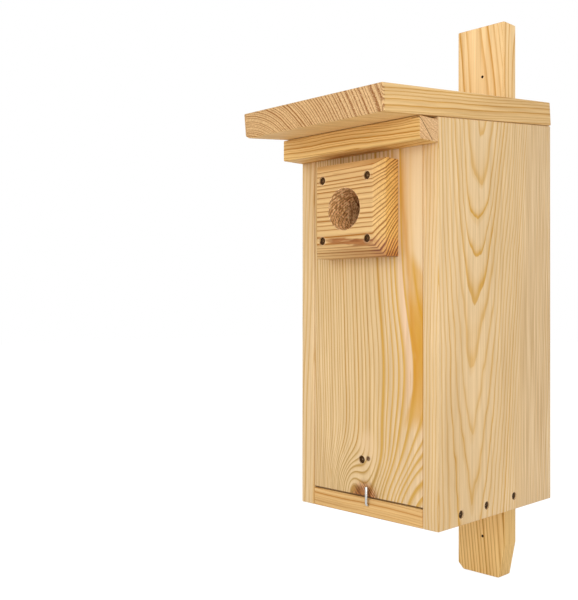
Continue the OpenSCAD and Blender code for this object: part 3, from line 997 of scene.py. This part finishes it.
class NESTBOX_OT_inner_boards(Operator):
    """Add the back panel, the floor board and the two stops"""
    bl_idname = "nestbox.inner_boards"
    bl_label = "Inner boards"

    def execute(self, context):
        back = roofed_plank("back_board", "back_panel")
        screw_recesses(back, "back_screws", Y)
        smooth(back)
        finish(back, pine("back_board_pine", pith_across=0.02, pith_deep=-0.10, lean_deep=0.03,
                          ring=0.0045, seed=21.0), "box", "back_panel")
        low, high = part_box("floor_board")
        floor = cuboid("floor_plank", low, high)
        round_edges(floor, sizes().arris)
        inset = sizes().drain_in
        for x in (low[0] + inset, high[0] - inset):
            for y in (low[1] + inset, high[1] - inset):
                start = (x, y, low[2] - CLEAR)
                cut(floor, cylinder("drain_hole", start, Z, sizes().drain_hole / 2, 40 * MM, 32))
        smooth(floor)
        finish(floor, pine("floor_plank_pine", turn=ALONG_X, pith_across=0.055, pith_deep=-0.205,
                           lean_across=0.03, ring=0.0030, ripple=0.0012, wave=0.0008, seed=5.0, contrast=1.25,
                           tone=(0.97, 0.85, 0.62), late_tone=(0.9, 0.72, 0.6)), "box", "floor_board")
        for name, node in (("left_cleat", "left_stop"), ("right_cleat", "right_stop")):
            low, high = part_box(node)
            cleat = cuboid(name, low, high)
            round_edges(cleat, sizes().block_arris)
            smooth(cleat)
            finish(cleat, pine("cleat_pine", pith_across=0.03, pith_deep=-0.15, ring=0.003, seed=8.0),
                   "box", node)
        return {'FINISHED'}


class NESTBOX_OT_front_panel(Operator):
    """Add the loose front panel with its hole and climbing grooves"""
    bl_idname = "nestbox.front_panel"
    bl_label = "Front panel"

    def execute(self, context):
        low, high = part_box("front_panel")
        panel = cuboid("front_board", low, high)
        round_edges(panel, sizes().arris * 0.7)
        bore(panel, low[1])
        reach, deep, tall = 45 * MM, 2 * MM, 3 * MM
        left, right = sizes().hole_right - reach, sizes().hole_right + reach
        for i in range(sizes().groove_count):
            foot = sizes().hole_height - sizes().hole_width / 2 - (i + 1) * sizes().groove_pitch
            cut(panel, cuboid("groove", (left, high[1] - deep, foot), (right, high[1] + 1 * MM, foot + tall)))
        screw_recesses(panel, "pull_screw", -Y)
        smooth(panel)
        finish(panel, pine("front_board_pine", extra=front_marks, pull=front_pull,
                           pith_across=0.095, pith_deep=-0.200, lean_across=-0.03,
                           ring=0.0099, tighten=6.0, waver=0.001, ripple=0.0010,
                           seed=15.0, uneven=0.8, contrast=1.65, tone=(0.98, 0.985, 0.97),
                           late_tone=(0.93, 0.91, 0.86)),
               "front", "front_panel")
        return {'FINISHED'}


class NESTBOX_OT_entrance_block(Operator):
    """Add the bevelled block round the entrance hole"""
    bl_idname = "nestbox.entrance_block"
    bl_label = "Entrance block"

    def execute(self, context):
        low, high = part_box("entrance_block")
        size = sizes()
        block = cuboid("bevelled_block", (low[0], low[1] + size.bevel_deep, low[2]), high)
        edit(block, 'FACE', lambda f: f.normal.y < -0.9)
        bpy.ops.mesh.extrude_region_move(TRANSFORM_OT_translate={"value": (0, -size.bevel_deep, 0)})
        width, height = high[0] - low[0], high[2] - low[2]
        small_width = width - 2 * size.bevel_side
        small_height = height - size.bevel_top - size.bevel_bottom
        bpy.ops.transform.resize(value=(small_width / width, 1, small_height / height))
        bpy.ops.transform.translate(value=(0, 0, (size.bevel_bottom - size.bevel_top) / 2))
        leave_edit()
        round_edges(block, size.block_arris)
        bore(block, low[1])
        screw_recesses(block, "block_screws", -Y)
        smooth(block)
        finish(block, pine("bevelled_block_pine", turn=ALONG_X, extra=block_marks,
                           pith_across=-0.220, pith_deep=-0.160, ring=0.0034,
                           waver=0.001, ripple=0.0009, seed=2.0, contrast=1.75, uneven=0.7,
                           tone=(0.96, 0.87, 0.68), late_tone=(0.66, 0.48, 0.32),
                           end_contrast=2.3, end_tone=(1.10, 1.06, 0.76, 1), end_late=(0.74, 0.64, 0.5, 1)),
               "front", "entrance_block")
        return {'FINISHED'}


class NESTBOX_OT_roof(Operator):
    """Add the sloping roof board and the batten under it"""
    bl_idname = "nestbox.roof"
    bl_label = "Roof and batten"

    def execute(self, context):
        low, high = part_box("roof_board")
        slope = sizes().roof_slope
        start_y, start_z, length, thickness = roof_line()
        turn = Matrix.Rotation(slope, 3, 'X')
        middle = Vector((0, start_y, start_z)) + turn @ Vector((0, length / 2, thickness / 2))
        deselect()
        bpy.ops.mesh.primitive_cube_add(size=1, location=middle, rotation=(slope, 0, 0),
                                        scale=(high[0] - low[0], length, thickness))
        roof = settle("roof_plank")
        wane = Vector((low[0], start_y, start_z)) + turn @ Vector((0, 0, sizes().roof_wane * 0.55))
        plane_off(roof, wane, turn @ Vector((-0.55, 0, -1)))
        round_edges(roof, sizes().arris)
        screw_recesses(roof, "roof_screws", Z, turn)
        smooth(roof)
        underside = start_z * math.cos(slope) - start_y * math.sin(slope)
        finish(roof, pine("roof_plank_pine", turn=(math.radians(90) - slope, 0, 0), extra=roof_marks,
                          pull=roof_pull, pith_across=-0.090, pith_deep=0.063 - underside,
                          lean_across=0.03, ring=0.0018, tighten=-1.5,
                          waver=0.001, ripple=0.0006, wave=0.0006, seed=9.0, contrast=1.2,
                          tone=(1.0, 0.93, 0.76), late_tone=(0.97, 0.9, 0.8),
                          end_contrast=1.9, end_tone=(0.90, 0.86, 0.88, 1), end_late=(0.58, 0.45, 0.4, 1)),
               "box", "roof_board")

        low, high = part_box("front_batten")
        batten = cuboid("roof_batten", low, high)
        round_edges(batten, sizes().arris)
        cut(batten, self.crack(high[0], *CRACK))
        smooth(batten)
        # The batten's orange tone is partly its own colour and partly painted warm bounce light, for the
        # saturated look of its wood in the roof's shade.
        finish(batten, pine("roof_batten_pine", turn=ALONG_X, extra=batten_crack_shade,
                            pith_across=-0.465, pith_deep=-0.230, lean_across=0.02,
                            ring=0.0025, ripple=0.0008, wave=0.0014, seed=14.0, contrast=1.4,
                            tone=(1.02, 0.92, 0.62), late_tone=(0.9, 0.72, 0.42),
                            end_contrast=0.8, end_tone=(1.01, 1.02, 1.45, 1)), "box", "front_batten")
        return {'FINISHED'}

    def crack(self, face, start, end):
        """A thin wedge that opens a drying crack in a right-hand end face, between two places in Y and Z."""
        start, end = Vector((face, *start)), Vector((face, *end))
        line = end - start
        wedge = cuboid("crack", (-9 * MM, -line.length / 2, -0.45 * MM), (1 * MM, line.length / 2, 0.45 * MM))
        edit(wedge, 'FACE', lambda f: f.normal.x < -0.9)
        bpy.ops.transform.resize(value=(1, 0.6, 0.05))
        leave_edit()
        make_active(wedge)
        wedge.rotation_euler = (math.atan2(line.z, line.y), 0, 0)
        wedge.location = (start + end) / 2
        return settle("crack")


class NESTBOX_OT_slat(Operator):
    """Add the hanging slat with its nail holes, cut corner and wane"""
    bl_idname = "nestbox.slat"
    bl_label = "Hanging slat"

    def execute(self, context):
        low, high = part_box("mounting_slat")
        slat = cuboid("hanging_slat", low, high)
        corner_across, corner_up = 3 * MM, 4.5 * MM
        wane_across, wane_up = 5 * MM, 17 * MM
        plane_off(slat, (low[0] + corner_across, 0, low[2] + corner_up), (-9, 0, -6))
        plane_off(slat, (high[0] - wane_across, 0, low[2]), (9, 0, -1))
        plane_off(slat, (high[0] - wane_across, 0, low[2] + wane_up), (1, 0, -0.2))
        round_edges(slat, sizes().arris)
        for height in NAIL_HEIGHTS:
            start = (NAIL_ACROSS, low[1] - CLEAR, height)
            cut(slat, cylinder("nail_hole", start, Y, sizes().nail_hole / 2, 40 * MM, 24))
        screw_recesses(slat, "slat_screws", Y)
        smooth(slat)
        finish(slat, pine("hanging_slat_pine", extra=slat_marks, pull=slat_pull,
                          pith_across=0.0465, pith_deep=0.030, lean_across=-0.10,
                          ring=0.00223, tighten=-1.8, waver=0.001, uneven=0.2, ripple=0.0007,
                          seed=31.0, contrast=1.2,
                          tone=(1.10, 1.05, 0.92), late_tone=(1.05, 0.92, 0.7)), "box", "mounting_slat")
        return {'FINISHED'}


class NESTBOX_OT_screws(Operator):
    """Add the cross-recess wood screws in every set"""
    bl_idname = "nestbox.screws"
    bl_label = "Screws"

    def execute(self, context):
        coating = metal("screw_coating", colours().screw, 0.42, speck=0.5)
        slope = Matrix.Rotation(sizes().roof_slope, 3, 'X')
        flat = Matrix.Identity(3)
        sets = (("pull_screw", -Y, flat, "front"), ("block_screws", -Y, flat, "front"),
                ("roof_screws", Z, slope, "box"), ("left_floor_screws", -X, flat, "box"),
                ("right_floor_screws", X, flat, "box"), ("back_screws", Y, flat, "box"),
                ("slat_screws", Y, flat, "box"))
        for node, direction, turn, body in sets:
            found = heads(node, direction, turn)
            screw = self.screw(found[0][2], found[0][3])
            screws = spread(node + "_set", screw, [(place, way) for place, way, _, _ in found])
            finish(screws, coating, body, node)
        return {'FINISHED'}

    def screw(self, head, length):
        """A countersunk wood screw with its head's top at zero and its point below."""
        shank = sizes().screw_width / 2
        core = shank * 0.72
        flat, cone = 0.3 * MM, head - shank
        outline = ((head * 0.93, 0), (head, -0.12 * MM), (head, -flat), (shank, -flat - cone),
                   (shank * 0.92, -flat - cone - 2 * MM), (core, -flat - cone - 2.4 * MM),
                   (core, -length + 2 * shank), (core * 0.45, -length + shank * 0.7), (0.12 * MM, -length))
        screw = turned("screw", outline)
        for angle in (45, 135):
            long, wide, deep = 0.55 * head, 0.11 * head, 0.62 * head
            slot = cuboid("cross", (-long, -wide, -deep), (long, wide, head))
            edit(slot, 'FACE', lambda f: f.normal.z < -0.9)
            bpy.ops.transform.resize(value=(0.45, 0.6, 1))
            leave_edit()
            make_active(slot)
            slot.rotation_euler = (0, 0, math.radians(angle))
            cut(screw, settle("cross"))
        ridge = self.thread(core, shank, -length + 2 * shank, -flat - cone - 3 * MM)
        screw = joined("screw", [screw, ridge])
        smooth(screw)
        return screw

    def thread(self, core, crest, bottom, top):
        """The raised helix of a thread, from a three-sided profile swept by the Screw modifier."""
        pitch = sizes().thread_pitch
        deselect()
        bpy.ops.mesh.primitive_circle_add(vertices=3, radius=crest - core, fill_type='NOTHING',
                                          location=(core, 0, bottom),
                                          rotation=(math.radians(90), 0, math.radians(180)))
        ridge = settle("thread")
        edit(ridge, 'VERT')
        bpy.ops.transform.resize(value=(1, 1, 0.8))
        leave_edit()
        make_active(ridge)
        sweep = ridge.modifiers.new("Turns", 'SCREW')
        sweep.axis = 'Z'
        sweep.screw_offset = pitch
        sweep.iterations = max(1, int((top - bottom) / pitch))
        sweep.steps = sweep.render_steps = 16
        sweep.use_merge_vertices = False
        bpy.ops.object.modifier_apply(modifier=sweep.name)
        edit(ridge, 'EDGE')
        bpy.ops.mesh.fill_holes(sides=3)
        bpy.ops.mesh.normals_make_consistent(inside=False)
        leave_edit()
        return ridge


class NESTBOX_OT_nails(Operator):
    """Add the flat-headed nails in the two stops"""
    bl_idname = "nestbox.nails"
    bl_label = "Nails"

    def execute(self, context):
        nodes = heads("stop_nails", X)
        _, _, head, length = nodes[0]
        shank = head / 2
        nail = turned("nail", ((head * 0.8, 0), (head, -0.15 * MM), (head, -0.65 * MM), (shank, -0.8 * MM),
                               (shank, -length + 2 * shank), (0.1 * MM, -length)), 20)
        smooth(nail)
        places = []
        for place, way, _, _ in nodes:
            side = 1 if place.x > 0 else -1
            inward = place if side < 0 else place - way * length
            places.append((inward, way * -side))
        nails = spread("stop_nails_set", nail, places)
        finish(nails, metal("nail_steel_bright", colours().nail, 0.35, speck=0.7), "box", "stop_nails")
        return {'FINISHED'}


class NESTBOX_OT_latch_hook(Operator):
    """Add the bent wire hook that keeps the front closed"""
    bl_idname = "nestbox.latch_hook"
    bl_label = "Latch hook"

    def execute(self, context):
        low, high = (Vector(corner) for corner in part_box("latch_hook"))
        radius = (high.x - low.x) / 2
        middle = (low.x + high.x) / 2
        arm_y = low.y + radius
        bend = sizes().hook_bend
        deselect()
        bpy.ops.mesh.primitive_circle_add(vertices=20, radius=radius, fill_type='NGON',
                                          location=(middle, high.y, low.z + radius),
                                          rotation=(math.radians(90), 0, 0))
        hook = settle("bent_hook")
        edit(hook)
        bpy.ops.mesh.extrude_region_move(TRANSFORM_OT_translate={"value": (0, arm_y + bend - high.y, 0)})
        centre = (middle, arm_y + bend, low.z + radius + bend)
        bpy.ops.mesh.spin(steps=8, angle=math.radians(90), center=centre, axis=(1, 0, 0))
        rise = high.z - radius * 0.5 - centre[2]
        bpy.ops.mesh.extrude_region_move(TRANSFORM_OT_translate={"value": (0, 0, rise)})
        # The arm's end is rounded in three steps, each narrower, by shares of the wire's radius
        for scale, step in ((0.92, 0.2), (0.72, 0.17), (0.40, 0.13)):
            bpy.ops.mesh.extrude_region_move(TRANSFORM_OT_translate={"value": (0, 0, radius * step)})
            bpy.ops.transform.resize(value=(scale, scale, 1))
        bpy.ops.mesh.select_all(action='SELECT')
        bpy.ops.mesh.normals_make_consistent(inside=False)
        leave_edit()
        smooth(hook, 50)
        finish(hook, metal("hook_zinc", colours().wire, 0.26, speck=0.9), "latch", "latch_hook")
        return {'FINISHED'}


class NESTBOX_PT_panel(Panel):
    """Lists what the nest box is built from"""
    bl_label = "Nest Box"
    bl_idname = "NESTBOX_PT_panel"
    bl_space_type = 'VIEW_3D'
    bl_region_type = 'UI'
    bl_category = "Nest Box"

    def draw(self, context):
        for step in STEPS:
            self.layout.operator(step.bl_idname)


STEPS = (NESTBOX_OT_stage, NESTBOX_OT_side_boards, NESTBOX_OT_inner_boards, NESTBOX_OT_front_panel,
         NESTBOX_OT_entrance_block, NESTBOX_OT_roof, NESTBOX_OT_slat, NESTBOX_OT_screws,
         NESTBOX_OT_nails, NESTBOX_OT_latch_hook)
CLASSES = (NestBoxSizes, NestBoxColours, *STEPS, NESTBOX_PT_panel)


def register():
    for item in CLASSES:
        bpy.utils.register_class(item)
    bpy.types.Scene.nest_box_sizes = PointerProperty(type=NestBoxSizes)
    bpy.types.Scene.nest_box_colours = PointerProperty(type=NestBoxColours)


def unregister():
    del bpy.types.Scene.nest_box_colours
    del bpy.types.Scene.nest_box_sizes
    for item in reversed(CLASSES):
        bpy.utils.unregister_class(item)


def main():
    register()
    bpy.ops.nestbox.stage()
    bpy.ops.nestbox.side_boards()
    bpy.ops.nestbox.inner_boards()
    bpy.ops.nestbox.front_panel()
    bpy.ops.nestbox.entrance_block()
    bpy.ops.nestbox.roof()
    bpy.ops.nestbox.slat()
    bpy.ops.nestbox.screws()
    bpy.ops.nestbox.nails()
    bpy.ops.nestbox.latch_hook()


if __name__ == "__main__":
    main()
